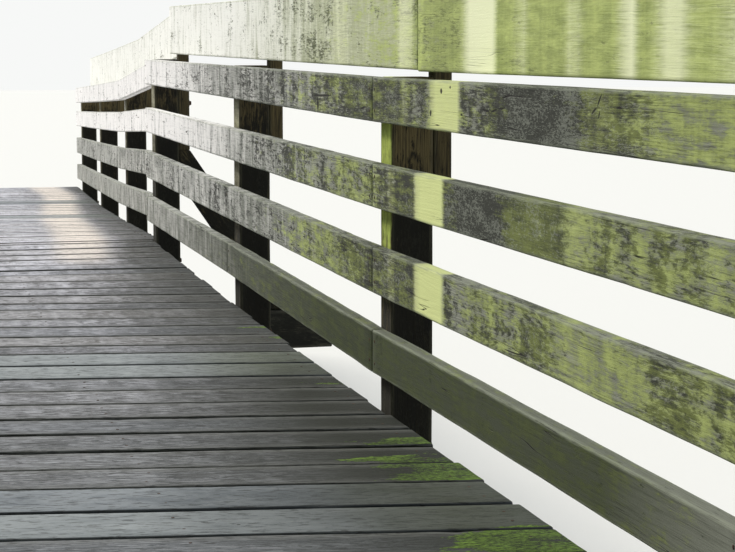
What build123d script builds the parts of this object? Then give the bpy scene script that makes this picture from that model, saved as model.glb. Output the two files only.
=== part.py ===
from build123d import *
from math import cos, radians, sin, tan
import os

# A timber footbridge in millimetres. X runs across it, Y along it and Z up.
# The origin lies under the middle of the deck, on the level of the pile feet.
# The main span between the two crest trestles sags a little, and the two
# approaches fall away from the crests and flare outwards to the banks.

# Bays and plan
post_side = 120            # posts along the railing, the measure that the photograph's proportions scale from
post_deep = 130            # posts square to the railing
middle_bay = 2500          # post spacing of the middle bay
bay = 2360                 # post spacing of every other bay
main_bays = 2              # bays from the middle bay to a crest trestle
approach_bays = 3          # bays from a crest trestle to the bank
deck_past_last_post = 550  # deck that runs on beyond the last posts
half_width = 1200          # middle of the walkway to the deck faces of the main posts
approach_step = 50         # sideways step of the railing where an approach begins
flare_angle = 2.75         # degrees that an approach railing turns outwards

# Heights, each list going from post to post away from the middle bay
deck_middle = 1500         # top of the planks in the middle bay
deck_rises = (12, 47)      # up to a crest
deck_falls = (109, 86, 41)  # down an approach
railing_rises = (15, 14)   # the railings don't follow the deck's hump at a crest
railing_falls = (99, 74, 69)

# Deck and beams
plank_thick = 50
plank_clearance = 5        # planks stop short of the posts
deck_joint = 12            # open joint across the deck in front of the crest posts
beam_wide = 140
beam_deep = 355
inner_beams_apart = 750    # middle to middle, under the planks' inner rows of nails
beam_joint = 3             # between beams that meet over a crosshead
notch_deep = 10            # beams are notched this deep over their bearers

# Crest trestles and bank ends
crosshead_side = 210
crosshead_past_posts = 956  # reach beyond the deck faces of the posts
sill_side = 200
sill_past_posts = 180       # reach beyond the deck faces of the last posts
pile_side = 180
pile_inset = 110            # centre of an outer pile, in from the posts' deck faces

# Railing boards, from the lowest up, with bottoms above the deck in the middle bay
rail_thick = 43
rail_bottoms = (136, 368, 609, 862)
rail_highs = (130, 137, 130, 132)
rail_hangs = ((23, 6, 0), (15, 0, 0), (0, 0, 0), (0, 0, 0))  # each rail's drop at the posts from the middle bay out
top_rail_drop = 47          # the highest rail sits this much lower down an approach
board_joint = 4             # butt joint between boards over a post
top_board_thick = 42
top_board_high = 250
main_board_gaps = (19, 29)  # open strip between the top rail and the board above it, from the middle bay to a crest
middle_board_gap = 15       # the same strip in the middle bay
approach_board_gap = 13     # the same strip down an approach
cleat_out = 57              # cleat size square to the railing
cleat_along = 65
cleat_long = 575
cleat_below_board = 10      # cleat tops stay under the top board's edge

# Raking struts at the crests
strut_deep = 134
strut_wide = 120
strut_angle = 56            # degrees above level
strut_head = 481            # top of the strut above the deck

sides = {"right": 1, "left": -1}
ends = {"far": 1, "near": -1}

# Post stations from the middle outwards
stations = [middle_bay / 2 + bay * n for n in range(main_bays + approach_bays + 1)]
crest = stations[main_bays]
bank = stations[-1]
deck_end = bank + deck_past_last_post

flare = radians(flare_angle)
bearer_drop = plank_thick + beam_deep - notch_deep  # deck top down to the top of a crosshead or sill
board_out = post_deep - top_board_thick             # posts' deck faces to the top board's deck face


def knots_of(rises, falls):
    """Heights at the middle, at each post and at the deck's end, which keeps the last bay's slope."""
    heights = [deck_middle]
    for n in range(main_bays):
        heights.append(heights[-1] + rises[min(n, len(rises) - 1)])
    for n in range(approach_bays):
        heights.append(heights[-1] - falls[min(n, len(falls) - 1)])
    last_slope = (heights[-1] - heights[-2]) / bay
    end_height = heights[-1] + last_slope * deck_past_last_post
    return [(0, deck_middle), *zip(stations, heights), (deck_end, end_height)]


def height_on(knots, y):
    """Height at a distance from the middle, straight between the knots."""
    away = abs(y)
    for (y_from, z_from), (y_to, z_to) in zip(knots, knots[1:]):
        if away <= y_to:
            return z_from + (z_to - z_from) * (away - y_from) / (y_to - y_from)
    return knots[-1][1]


deck_knots = knots_of(deck_rises, deck_falls)
railing_knots = knots_of(railing_rises, railing_falls)
board_gap_knots = [(stations[0], main_board_gaps[0]), (crest, main_board_gaps[1])]


def deck_height(y):
    """Top of the deck at y."""
    return height_on(deck_knots, y)


def approach_x(y):
    """Middle of the walkway to the deck faces of the posts of an approach."""
    return half_width + approach_step + (abs(y) - crest) * tan(flare)


def railing_at(part, side, y):
    """Where a railing's deck face stands at y, its outward direction and its direction along +Y."""
    if part == "main":
        return Vector(side * half_width, y, 0), Vector(side, 0, 0), Vector(0, 1, 0)
    end = ends[part]
    outward = Vector(side * cos(flare), -end * sin(flare), 0)
    along = Vector(side * end * sin(flare), cos(flare), 0)
    return Vector(side * approach_x(y), y, 0), outward, along


def rail_bottom(y, line):
    """Bottom edge of a rail, line 0 being the lowest; the highest eases down as an approach begins."""
    hangs = rail_hangs[line]
    hang = height_on([(0, hangs[0]), *zip(stations, hangs)], y)
    on_approach = min(max((abs(y) - crest) / bay, 0), 1)
    drop = top_rail_drop * on_approach if line == len(rail_bottoms) - 1 else 0
    return height_on(railing_knots, y) + rail_bottoms[line] - hang - drop


def post_top(y):
    """Posts stop level with the top edge of the highest rail."""
    return rail_bottom(y, len(rail_bottoms) - 1) + rail_highs[-1]


def add_board(part, side, y_from, y_to, out, bottom, thick, high):
    """Adds a straight board along a railing; out is the gap from the posts' deck faces to its own."""
    middles = []
    for y in (y_from, y_to):
        foot, outward, along = railing_at(part, side, y)
        middles.append(foot + outward * (out + thick / 2) + Vector(0, 0, bottom(y) + high / 2))
    with BuildSketch(Plane(origin=middles[0], x_dir=outward, z_dir=along)) as section:
        Rectangle(thick, high)
    run = middles[1] - middles[0]
    extrude(section.sketch, amount=run.length, dir=run.normalized())


def add_upright(centre, outward, z_from, z_to, across, along):
    """Adds an upright timber that is turned with its railing."""
    with BuildSketch(Plane(origin=(centre.X, centre.Y, z_from), x_dir=outward, z_dir=(0, 0, 1))) as section:
        Rectangle(across, along)
    extrude(section.sketch, amount=z_to - z_from)


def along_profile(y_from, y_to, drop, deep):
    """A strip in the YZ plane that follows the deck, with its top edge `drop` below the deck's."""
    inner = sorted(sign * y for y, z in deck_knots for sign in (1, -1) if y_from < sign * y < y_to)
    run = [y_from, *dict.fromkeys(inner), y_to]
    top = [(y, deck_height(y) - drop) for y in run]
    return top + [(y, z - deep) for y, z in reversed(top)]


def save(piece, name):
    """Labels a finished piece and writes it."""
    piece.part.label = name
    export_step(piece.part, f"parts/{name}.step")


def railing_posts(part):
    """Stations of the posts that belong to a part of the bridge, in order along +Y."""
    if part == "main":
        inner = stations[: main_bays + 1]
        return [-y for y in reversed(inner)] + inner
    return [ends[part] * y for y in stations[main_bays + 1 :]]


def boards_between(stops, shortened):
    """Pairs of Y between stops, cut back by half a butt joint where boards meet."""
    pairs = []
    for start, stop in zip(stops, stops[1:]):
        step = shortened if stop > start else -shortened
        pairs.append((start + step, stop - step))
    return pairs


def make_deck(name, y_from, y_to, outline):
    """The planks of one part of the deck as one slab, cut to its outline in plan."""
    with BuildPart() as deck:
        with BuildSketch(Plane.YZ):
            Polygon(*along_profile(y_from, y_to, 0, plank_thick), align=None)
        extrude(amount=2 * half_width, both=True)
        with BuildSketch():
            Polygon(*outline, align=None)
        extrude(amount=2 * deck_middle, mode=Mode.INTERSECT)
    save(deck, name)


def make_rails(part, side_name):
    """Four lines of rails on the deck faces of the posts."""
    side = sides[side_name]
    if part == "main":
        bottom_stops = railing_posts(part)
        long_stops = [-crest, -stations[0], stations[0], crest]
    else:
        end = ends[part]
        bottom_stops = [end * (crest + post_side / 2), *railing_posts(part)[:-1], end * (bank + post_side / 2)]
        long_stops = bottom_stops
    with BuildPart() as rails:
        for line, high in enumerate(rail_highs):
            stops = bottom_stops if line == 0 else long_stops
            for y_from, y_to in boards_between(stops, board_joint / 2):
                add_board(part, side, y_from, y_to, -rail_thick, lambda y: rail_bottom(y, line), rail_thick, high)
    save(rails, f"rails_{part}_{side_name}")


def cleat_y(y):
    """Middle of the cleat on the post at y, which is flush with the post's face towards the middle."""
    return y + (-1 if y > 0 else 1) * (post_side - cleat_along) / 2


def top_board_bottom(part, y, in_middle_bay):
    """Bottom edge of the board above the posts, lowest in the middle bay and highest over a crest."""
    if part != "main":
        return post_top(y) + approach_board_gap
    return post_top(y) + (middle_board_gap if in_middle_bay else height_on(board_gap_knots, y))


def make_top_boards(part, side_name):
    """The wide board that raises the railing, fixed to the deck faces of the cleats."""
    side = sides[side_name]
    if part == "main":
        stops = [cleat_y(y) for y in (-crest, -stations[0], stations[0], crest)]
    else:
        end = ends[part]
        start = end * (crest - post_side / 2 + cleat_along + post_deep * sin(flare))
        stops = [start, *[cleat_y(y) for y in railing_posts(part)[:-1]], end * (bank + post_side / 2)]
    with BuildPart() as boards:
        for y_from, y_to in boards_between(stops, board_joint / 2):
            in_middle_bay = max(abs(y_from), abs(y_to)) < stations[0]
            add_board(part, side, y_from, y_to, board_out, lambda y: top_board_bottom(part, y, in_middle_bay),
                      top_board_thick, top_board_high)
    save(boards, f"top_boards_{part}_{side_name}")


def make_posts(part, side_name):
    """Posts on the outer faces of the outer beams, standing on the bearers where there are any."""
    with BuildPart() as posts:
        for y in railing_posts(part):
            foot, outward, along = railing_at(part, sides[side_name], y)
            add_upright(foot + outward * post_deep / 2, outward, deck_height(y) - bearer_drop, post_top(y),
                        post_deep, post_side)
    save(posts, f"posts_{part}_{side_name}")


def make_cleats(part, side_name):
    """Cleats on the outer faces of the posts, flush with the post faces that look to the middle."""
    with BuildPart() as cleats:
        for y in railing_posts(part):
            foot, outward, along = railing_at(part, sides[side_name], y)
            centre = foot + outward * (post_deep + cleat_out / 2) + along * (cleat_y(y) - y)
            top = top_board_bottom(part, y, abs(y) == stations[0]) + top_board_high - cleat_below_board
            bottom = deck_height(y) + strut_head if abs(y) == crest else top - cleat_long
            add_upright(centre, outward, bottom, top, cleat_out, cleat_along)
    save(cleats, f"cleats_{part}_{side_name}")


def make_strut(end_name, side_name):
    """A raking strut from the crest post down to the end of the crosshead."""
    side = sides[side_name]
    lean = 1 / tan(radians(strut_angle))
    across = strut_deep / sin(radians(strut_angle))
    post_face = half_width + post_deep
    head_x = post_face + cleat_out
    head_z = deck_height(crest) + strut_head
    foot_z = deck_height(crest) - bearer_drop
    foot_x = head_x + (head_z - foot_z) * lean
    inner_z = head_z - (post_face - (head_x - across)) / lean
    corners = [
        (side * post_face, head_z),
        (side * head_x, head_z),
        (side * foot_x, foot_z),
        (side * (foot_x - across), foot_z),
        (side * post_face, inner_z),
    ]
    with BuildPart() as strut:
        with BuildSketch(Plane.XZ.offset(-ends[end_name] * crest)):
            Polygon(*corners, align=None)
        extrude(amount=strut_wide / 2, both=True)
    save(strut, f"strut_{end_name}_{side_name}")


def notch_over(y, bearer_side):
    """Cuts the beams of the open part where they sit on the bearer at y."""
    top = deck_height(y) - bearer_drop
    with Locations((0, y, top - bearer_side / 2)):
        Box(6 * half_width, bearer_side, bearer_side, mode=Mode.SUBTRACT)


def make_main_beam(name, x):
    """A beam of the main span, sagged like the deck on it and notched over both crossheads."""
    with BuildPart() as beam:
        with BuildSketch(Plane.YZ.offset(x)):
            Polygon(*along_profile(beam_joint / 2 - crest, crest - beam_joint / 2, plank_thick, beam_deep),
                    align=None)
        extrude(amount=beam_wide / 2, both=True)
        for end in ends.values():
            notch_over(end * crest, crosshead_side)
    save(beam, name)


def approach_edge(end, inset):
    """The outer edge of an approach in plan, inset from the posts' deck faces and notched round the crest post."""
    past_post = crest + post_side / 2 + plank_clearance
    return [
        (half_width - inset, end * past_post),
        (approach_x(past_post) - inset, end * past_post),
        (approach_x(deck_end) - inset, end * deck_end),
    ]


def make_approach_beams(end_name):
    """Four beams from a crest to the bank, the outer two fanned out under the railings."""
    end = ends[end_name]
    y_from = crest + beam_joint / 2
    profile = [(end * y, z) for y, z in along_profile(y_from, deck_end, plank_thick, beam_deep)]
    corners = [
        (half_width, end * y_from),
        *approach_edge(end, 0),
        (approach_x(deck_end) - beam_wide, end * deck_end),
        (approach_x(y_from) - beam_wide, end * y_from),
    ]
    with BuildPart() as beams:
        with BuildSketch(Plane.YZ):
            Polygon(*profile, align=None)
        extrude(amount=2 * half_width, both=True)
        with BuildSketch():
            with Locations((-inner_beams_apart / 2, 0), (inner_beams_apart / 2, 0)):
                Rectangle(beam_wide, 2 * deck_end)
            for side in sides.values():
                Polygon(*[(side * x, y) for x, y in corners], align=None)
        extrude(amount=2 * deck_middle, mode=Mode.INTERSECT)
        notch_over(end * crest, crosshead_side)
        notch_over(end * bank, sill_side)
    save(beams, f"approach_beams_{end_name}")


def make_bearer(name, y, bearer_side, reach):
    """A square bearer across the bridge under the beams."""
    with BuildPart() as bearer:
        with Locations((0, y, deck_height(y) - bearer_drop - bearer_side / 2)):
            Box(2 * reach, bearer_side, bearer_side)
    save(bearer, name)


def make_piles(name, y, bearer_side, outer_x):
    """Three piles from the lowest ground up to a bearer, two by the outer beams and one in the middle."""
    top = deck_height(y) - bearer_drop - bearer_side
    with BuildPart() as piles:
        with BuildSketch():
            with Locations((-outer_x, y), (0, y), (outer_x, y)):
                Rectangle(pile_side, pile_side)
        extrude(amount=top)
    save(piles, name)


os.makedirs("parts", exist_ok=True)

# Deck
main_edge = half_width - plank_clearance
main_end = crest - post_side / 2 - deck_joint / 2
make_deck("deck_main", -main_end, main_end,
          [(main_edge, -main_end), (main_edge, main_end), (-main_edge, main_end), (-main_edge, -main_end)])
for end_name, end in ends.items():
    start = main_end + deck_joint
    right_edge = [(main_edge, end * start), *approach_edge(end, plank_clearance)]
    left_edge = [(-x, y) for x, y in reversed(right_edge)]
    make_deck(f"deck_approach_{end_name}", min(end * start, end * deck_end), max(end * start, end * deck_end),
              right_edge + left_edge)

# Railings
for part in ("main", *ends):
    for side_name in sides:
        make_rails(part, side_name)
        make_top_boards(part, side_name)
        make_posts(part, side_name)
        make_cleats(part, side_name)

# Beams, bearers, struts and piles
for side_name, side in sides.items():
    make_main_beam(f"main_beam_{side_name}", side * (half_width - beam_wide / 2))
    make_main_beam(f"main_beam_inner_{side_name}", side * inner_beams_apart / 2)
for end_name, end in ends.items():
    make_approach_beams(end_name)
    make_bearer(f"crosshead_{end_name}", end * crest, crosshead_side, half_width + crosshead_past_posts)
    make_piles(f"trestle_piles_{end_name}", end * crest, crosshead_side, half_width - pile_inset)
    make_bearer(f"end_sill_{end_name}", end * bank, sill_side, approach_x(bank) + sill_past_posts)
    make_piles(f"end_piles_{end_name}", end * bank, sill_side, approach_x(bank) - pile_inset)
    for side_name in sides:
        make_strut(end_name, side_name)
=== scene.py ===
# %% [markdown]
# # A weathered timber footbridge
# The real bridge is sawn softwood: planks across beams, square posts, four lines of rails and a wide
# board that was added above them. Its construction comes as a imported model, which stays where it is.
# This notebook gives it its looks: every board gets worn edges, and grey wood, mildew and green algae
# are mixed by nodes that follow the grain of each board.

# %% Load the frame
from math import pi, radians

import bpy
import numpy as np
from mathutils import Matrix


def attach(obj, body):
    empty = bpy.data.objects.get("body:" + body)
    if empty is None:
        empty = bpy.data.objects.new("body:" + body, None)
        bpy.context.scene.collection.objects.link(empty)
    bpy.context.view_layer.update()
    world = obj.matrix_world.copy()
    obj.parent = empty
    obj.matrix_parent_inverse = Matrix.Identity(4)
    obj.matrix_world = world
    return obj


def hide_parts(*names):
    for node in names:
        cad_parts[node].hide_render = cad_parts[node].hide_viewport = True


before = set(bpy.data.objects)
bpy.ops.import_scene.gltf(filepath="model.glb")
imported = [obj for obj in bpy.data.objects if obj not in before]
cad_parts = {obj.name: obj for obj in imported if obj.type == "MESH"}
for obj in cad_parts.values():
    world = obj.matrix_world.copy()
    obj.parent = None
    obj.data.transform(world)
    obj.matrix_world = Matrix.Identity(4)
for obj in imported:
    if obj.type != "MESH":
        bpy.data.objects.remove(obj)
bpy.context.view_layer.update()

# %% [markdown]
# ## Reading timbers from the frame
# A board in the frame is a plain box, turned with its railing. Its new shape could be placed by typing
# its corners in again, but then it would no longer follow the frame. So the corners are read from the
# mesh: equal points are merged, points that share a triangle belong to one timber, and the eight
# corners are put in order along three directions.


# %% Separate timbers and their corners
def solids_of(node):
    """Corner points of every separate timber in a node.

    Each point starts with its own number. Every triangle gives its three points the lowest number among
    them, and this repeats until nothing changes, so that points with one number form one timber.
    """
    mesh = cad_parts[node].data
    points = np.empty(len(mesh.vertices) * 3)
    mesh.vertices.foreach_get("co", points)
    points, merged = np.unique(points.reshape(-1, 3).round(4), axis=0, return_inverse=True)
    triangles = np.empty(len(mesh.loops), int)
    mesh.loops.foreach_get("vertex_index", triangles)
    triangles = merged.ravel()[triangles].reshape(-1, 3)
    number = np.arange(len(points))
    while True:
        spread = number.copy()
        np.minimum.at(spread, triangles, number[triangles].min(axis=1)[:, None])
        if (spread == number).all():
            break
        number = spread
    return [points[number == value] for value in np.unique(number)]


def sorted_corners(corners, along, width, depth):
    """Eight corners as an array by end, width side and depth side, each from low to high.

    The corners are halved by how far they lie in direction `along`, each half by `width`, and each
    quarter by `depth`. Along, width and depth are right-handed, so that faces come out facing outwards.
    """
    ordered = corners[np.argsort(corners @ along)].reshape(2, 4, 3)
    halves = []
    for half in ordered:
        quarters = half[np.argsort(half @ width)].reshape(2, 2, 3)
        halves.append([quarter[np.argsort(quarter @ depth)] for quarter in quarters])
    return np.array(halves)


UP = np.array([0.0, 0.0, 1.0])
ALONG_BRIDGE = np.array([0.0, 1.0, 0.0])
ACROSS_BRIDGE = np.array([1.0, 0.0, 0.0])

print("boards in the main right railing", len(solids_of("rails_main_right")))

# %% [markdown]
# ## A worn timber
# Rain and frost round the edges of a board, unevenly, and lift and groove its faces. A Bevel modifier
# would give every edge one radius. Here the section is a rectangle with rounded corners whose radius
# wanders along the board, carried from one end to the other. Faces only ever wear inwards, so the
# piece stays inside its solid. The same section serves rails, planks, posts and bearers.


# %% The section and how it wears
def section_points(width_steps, depth_steps, arc_steps=3):
    """A rounded rectangle as shares of its half sides and outward normals, both with n rows.

    A point lies at share times (half side minus radius) plus normal times radius. On a corner the
    normal turns through a quarter circle; between corners the share runs from one sign to the other,
    closer together near the corners.
    """
    shares, normals, on_arc = [], [], []
    for quarter in range(4):
        start = quarter * pi / 2
        angles = start + np.linspace(0, pi / 2, arc_steps)
        corner = np.sign([np.cos(start + pi / 4), np.sin(start + pi / 4)])
        following = np.sign([np.cos(start + 3 * pi / 4), np.sin(start + 3 * pi / 4)])
        steps = depth_steps if quarter % 2 == 0 else width_steps
        ease = (1 - np.cos(pi * np.arange(1, steps + 1) / (steps + 1))) / 2
        shares += [np.tile(corner, (arc_steps, 1)), corner + np.outer(ease, following - corner)]
        normals += [np.column_stack([np.cos(angles), np.sin(angles)]),
                    np.tile([np.cos(start + pi / 2), np.sin(start + pi / 2)], (steps, 1))]
        on_arc += [np.ones(arc_steps), np.zeros(steps)]
    return np.concatenate(shares), np.concatenate(normals), np.concatenate(on_arc)


def ripple(rng, place, reach, waves=5):
    """A smooth random curve between about -1 and 1.

    It is a sum of sines whose lengths run from the reach down to a fifth of it.
    """
    lengths = reach * rng.uniform(0.2, 1.0, waves)
    phases = rng.uniform(0, 2 * pi, waves)
    weights = rng.uniform(0.5, 1.0, waves)
    waved = np.sin(2 * pi * np.asarray(place)[..., None] / lengths + phases) * weights
    return waved.sum(axis=-1) / weights.sum()


WANDER_REACH = 0.9
WANDER_SHARE = 0.45
BITE_REACH = 0.35
BITE_LEVEL = 0.45
LEAST_RADIUS = 0.0005
GROOVE_REACH = 1.3
GROOVE_STEP = 0.222
ROUND_OVER = np.array([0.0, 0.3, 1.0])
MOST_RADIUS = 0.8


def worn_timber(rng, corners, station_gap, width_steps, depth_steps, edge_radius, groove, chip=0.0):
    """One timber with worn edges: its points, quads, caps, grain coordinates, facing and arris marks.

    Place along the timber is the first parameter and place round the section the second. At each
    station the half sides shrink at the two ends by a quarter circle, the radius wanders, and each
    point is moved inwards by a groove depth. The points are then carried into the eight corners by
    straight interpolation. Facing holds the outward normal of the section, by width and by depth.
    """
    share, normal, on_arc = section_points(width_steps, depth_steps)
    ends = corners.mean(axis=(1, 2))
    length = np.linalg.norm(ends[1] - ends[0])
    half_width = np.linalg.norm(corners[:, 1] - corners[:, 0], axis=-1).mean() / 2
    half_depth = np.linalg.norm(corners[:, :, 1] - corners[:, :, 0], axis=-1).mean() / 2
    round_over = edge_radius * ROUND_OVER
    inner = np.linspace(edge_radius, length - edge_radius, max(int(length / station_gap), 3))[1:-1]
    stations = np.concatenate([round_over, inner, length - round_over[::-1]])[:, None]
    from_end = np.minimum(stations, length - stations).clip(0, edge_radius)
    pulled_in = edge_radius - np.sqrt(edge_radius**2 - (edge_radius - from_end) ** 2)
    corner_number = (share[:, 0] > 0) * 2 + (share[:, 1] > 0)
    wander, bites = [
        np.stack([ripple(rng, stations[:, 0], reach) for _ in range(4)], axis=1)[:, corner_number]
        for reach in (WANDER_REACH, BITE_REACH)
    ]
    radius = edge_radius * (1 + WANDER_SHARE * wander) + chip * (bites - BITE_LEVEL).clip(0)
    radius = radius.clip(LEAST_RADIUS, min(half_width, half_depth) * MOST_RADIUS)
    round_section = np.arange(len(share)) * GROOVE_STEP
    depth_in = groove * (0.5 + 0.5 * ripple(rng, stations + round_section, GROOVE_REACH, 7))
    depth_in = depth_in * (1 - 0.5 * on_arc) + pulled_in
    offset = share * (np.array([half_depth, half_width]) - radius[..., None])
    offset = offset + normal * (radius - depth_in)[..., None]
    across = offset / np.array([half_depth, half_width]) / 2 + 0.5
    frac = np.broadcast_to(stations / length, across.shape[:2])
    places = []
    for end in (0, 1):
        low = corners[end, 0, 0] + across[..., :1] * (corners[end, 0, 1] - corners[end, 0, 0])
        high = corners[end, 1, 0] + across[..., :1] * (corners[end, 1, 1] - corners[end, 1, 0])
        places.append(low + across[..., 1:] * (high - low))
    points = places[0] + frac[..., None] * (places[1] - places[0])
    rings, around = frac.shape
    first = np.arange(rings - 1)[:, None] * around + np.arange(around)
    second = np.arange(rings - 1)[:, None] * around + np.roll(np.arange(around), -1)
    quads = np.stack([first, first + around, second + around, second], axis=-1).reshape(-1, 4)
    caps = [np.arange(around), np.arange(around)[::-1] + (rings - 1) * around]
    along = np.broadcast_to(stations[..., None], (rings, around, 1))
    grain = np.concatenate([along, offset[..., ::-1]], axis=-1)
    facing = np.tile(normal[:, ::-1], (rings, 1))
    return points.reshape(-1, 3), quads, caps, grain.reshape(-1, 3), facing, np.tile(on_arc, rings)


# %% [markdown]
# ## Where things grow
# Algae, mildew and damp don't cover a railing evenly: they change with the shade along the bridge and
# with height. These maps are plain curves over the place along the bridge, one value a point, and the
# finish later breaks their edges up with noise. The near half mirrors the far half about the first post
# on the viewer's side, so that it is as varied as the half that the photograph shows.
# The maps also carry painted light: strips of painted sunlight on rails, top boards and the far approach,
# painted sunlight in the silver of far boards, and painted shade in the damp map.

# %% Growth maps
MIRROR = -1.25


def folded(y):
    """Place along the bridge, with all that is nearer than the first post mirrored to its far side."""
    return np.where(y < MIRROR, 2 * MIRROR - y, y)


def ramp(value, start, stop):
    """0 before the start, 1 after the stop and straight between them. The stop may be the lower one."""
    return ((value - start) / (stop - start)).clip(0, 1)


def soft_strip(y, centre, half, edge):
    """1 within half of the centre, falling to 0 over the edge width on both sides."""
    return ((half + edge / 2 - abs(y - centre)) / edge).clip(0, 1)


def strips(y, rows):
    """The sum of soft strips, each row a weight, a centre, half a width and the width of its edges."""
    return sum(weight * soft_strip(y, *row) for weight, *row in rows)


# Curves of the rails as places along the bridge and values there
RAIL_MILDEW = ([-1.2, -0.8, -0.4, 0.1, 1.0, 2.0, 3.0, 4.5], [0.34, 0.44, 0.66, 0.98, 0.90, 0.82, 0.66, 0.34])
RAIL_ALGAE = ([-1.2, -0.6, 0.0, 0.3, 1.2, 2.3, 3.0, 3.8], [0.66, 0.68, 0.62, 0.48, 0.56, 0.50, 0.25, 0.0])
# Silver grey of old wood that grows paler further away, partly painted sunlight on the far rails
RAIL_SILVER_AND_SUNLIGHT = ([1.4, 2.2, 3.1, 4.0, 5.0], [0.0, 0.35, 0.45, 0.85, 1.0])
# Painted shade on the lowest rail, which the damp map carries
LOW_RAIL_SHADE = ([-1.2, -0.6, 1.8, 3.4, 5.2], [0.55, 1.15, 1.20, 0.78, 0.15])

# What single rails have more or less of
MILDEW_CHANGES = {
    "upper": ([-0.8, -0.43, -0.07, 0.20, 0.36, 1.20, 1.90, 2.36, 3.25, 3.70, 4.15, 4.70, 5.28],
              [-0.30, 0.48, 0.50, 0.20, -0.42, 0, -0.10, -0.34, -0.15, -0.15, -0.08, 0.0, -0.20]),
    "second": ([-0.87, -0.50, -0.21, 0.22, 0.35, 1.00, 1.51, 2.20, 3.11, 4.01, 5.14],
               [0.14, -0.08, 0.16, 0.32, 0.24, 0.05, -0.50, -0.16, -0.30, -0.30, -0.20]),
    "third": ([-0.87, -0.57, -0.20, 0.22, 0.38, 0.66, 0.94, 1.30, 2.22, 3.11, 4.01, 5.14],
              [0.10, -0.36, -0.10, -0.64, -0.50, 0.15, 0.34, -0.10, -0.42, -0.22, -0.12, 0.0]),
}
ALGAE_CHANGES = {
    "upper": [(-0.40, -0.05, 0.22, 0.2)],
    "second": [(-0.40, 0.24, 0.14, 0.1), (0.30, -0.2, 0.15, 0.2), (0.10, 1.5, 0.2, 0.3)],
    "third": [(0.15, 0.22, 0.12, 0.2), (0.15, 1.9, 0.4, 0.5)],
}
SILVER_AND_SUNLIGHT_CHANGES = {
    "upper": ([3.1, 4.0, 4.8, 5.4], [0.0, -0.30, -0.12, 0.0]),
    "second": ([0.0], [0.0]),
    "third": ([2.2, 3.1, 4.0, 5.4], [-0.05, -0.08, -0.30, -0.50]),
}

# Strips of painted sunlight on the rails and top boards, and where the film on the deck is thick, as rows of
# strips
SUNLIT_RAIL_STRIPS = [
    (1.0, 0.66, 0.13, 0.03), (0.45, 1.04, 0.04, 0.06), (0.4, 2.02, 0.03, 0.05), (0.3, -0.42, 0.08, 0.10),
]
SUNLIT_TOP_BOARD_STRIPS = [
    (1.0, 0.637, 0.14, 0.05), (0.55, -0.06, 0.05, 0.05), (0.9, -0.39, 0.05, 0.04), (0.65, 1.36, 0.09, 0.06),
    (0.5, 0.30, 0.05, 0.05), (0.75, -0.62, 0.09, 0.10), (0.55, -1.0, 0.18, 0.2), (0.5, 2.17, 0.12, 0.10),
]
THICK_FILM = [
    (0.9, -0.36, 0.16, 0.08), (1.0, 0.46, 0.18, 0.06), (0.9, 0.79, 0.07, 0.06), (0.5, 1.74, 0.05, 0.04),
    (0.75, 2.69, 0.05, 0.04), (0.55, 2.96, 0.04, 0.04), (0.25, 0.14, 0.05, 0.04),
]


# Heights over the planks from which to which one rail gives way to the next, and posts change
LOW_RAIL = (0.30, 0.27)
SECOND_RAIL = (0.53, 0.58)
UPPER_RAIL = (0.78, 0.84)
RAISED_POST = (0.2, 0.6)
DRY_POST = (0.66, 0.74)

# Distances from the deck's edge from which to which growth sets in, and half the soft edge of the damp and
# painted shade
NEAR_EDGE = (0.45, 0.15)
DAMP_AND_SHADE_EDGE = 0.28

# How much nearer the viewer the upper rail has its patterns
UPPER_SHIFT = 0.14


def height_above_deck(points):
    """How high each point lies over the planks beside it."""
    return points[:, 2] - np.interp(abs(points[:, 1]), *DECK_LINE)


def rail_growth(points, facing):
    """Curves along the bridge for the rails; the lowest rail is dull and smooth, and darkened olive with
    painted shade.
    """
    height = height_above_deck(points)
    low = ramp(height, *LOW_RAIL)
    upper = ramp(height, *UPPER_RAIL)
    second = ramp(height, *SECOND_RAIL) * (1 - upper)
    up = (facing[:, 0] > 0.5) * 1.0
    y = folded(points[:, 1]) + UPPER_SHIFT * upper
    mildew = np.interp(y, *RAIL_MILDEW)
    algae = np.interp(y, *RAIL_ALGAE)
    silver_and_sunlit = np.interp(y, *RAIL_SILVER_AND_SUNLIGHT)
    for rail, share in {"upper": upper, "second": second, "third": 1 - low - second - upper}.items():
        mildew += share * np.interp(y, *MILDEW_CHANGES[rail])
        algae += share * strips(y, ALGAE_CHANGES[rail])
        silver_and_sunlit += share * np.interp(y, *SILVER_AND_SUNLIGHT_CHANGES[rail])
    # Painted sunlight: pale strips on the upper three rails, where mildew is left out
    sunlight_patch = strips(y, SUNLIT_RAIL_STRIPS).clip(0, 1) * (1 - low) * (1 - 0.12 * upper)
    # Painted shade on the lowest rail, laid in as damp and a little algae
    shade = low * np.interp(y, *LOW_RAIL_SHADE)
    return {
        "mildew": mildew.clip(0, 1.25) * (1 - 0.8 * low) * (1 - 0.95 * sunlight_patch) * (1 - 0.2 * up),
        "algae": (algae * (1 - low) + 0.5 * shade) * (1 - 0.2 * up),
        "sunlight_patch": sunlight_patch,
        "silver_and_sunlit": silver_and_sunlit * (1 - 0.52 * low),
        # Painted shade on the faces that look up, fading towards the far end
        "damp_and_shade": shade * (1 - 0.6 * up) + 0.4 * up * np.interp(y, [2.0, 4.0], [1.0, 0.3]),
    }


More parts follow.
